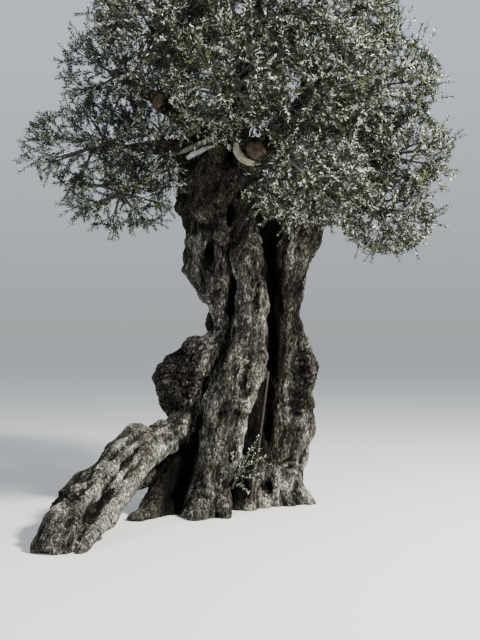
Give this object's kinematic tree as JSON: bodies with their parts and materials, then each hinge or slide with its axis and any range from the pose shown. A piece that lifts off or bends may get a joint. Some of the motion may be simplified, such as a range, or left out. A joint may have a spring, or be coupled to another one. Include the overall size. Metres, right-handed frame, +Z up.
{
  "type": "olive tree",
  "caption": "Old pollarded olive tree: a hollow twisted trunk with burls and a long root leg, short boughs and masses of narrow grey-green leaves, cut flat at ground level.",
  "frame": {"origin": "on the flat cut at ground level, in the middle of the trunk's foot", "axes": "+Z up, +Y away from the viewer of the picture, +X to the viewer's right"},
  "size_m": [4.229, 3.8296, 5.3203],
  "materials": {
    "bark": "rough, furrowed grey bark",
    "foliage": "narrow leathery leaves, dull grey-green above and silvery beneath"
  },
  "bodies": {
    "root": {"trunk": "bark", "root_leg": "bark", "left_bough": "bark", "low_left_bough": "bark", "upper_left_bough": "bark", "left_top_bough": "bark", "front_left_bough": "bark", "centre_top_bough": "bark", "front_top_bough": "bark", "back_top_bough": "bark", "upper_right_bough": "bark", "right_top_bough": "bark", "front_right_upper_bough": "bark", "front_bough": "bark", "right_bough": "bark", "low_right_bough": "bark", "front_right_bough": "bark", "back_left_bough": "bark", "back_bough": "bark", "back_right_bough": "bark", "left_low_foliage": "foliage", "left_far_foliage": "foliage", "left_upper_foliage": "foliage", "left_top_foliage": "foliage", "front_left_foliage": "foliage", "centre_top_foliage": "foliage", "front_top_foliage": "foliage", "back_top_foliage": "foliage", "right_upper_foliage": "foliage", "right_top_foliage": "foliage", "front_right_upper_foliage": "foliage", "front_centre_foliage": "foliage", "right_far_foliage": "foliage", "right_low_foliage": "foliage", "front_right_foliage": "foliage", "back_left_foliage": "foliage", "back_centre_foliage": "foliage", "back_right_foliage": "foliage", "basal_shoots": "foliage"}
  },
  "joints": []
}
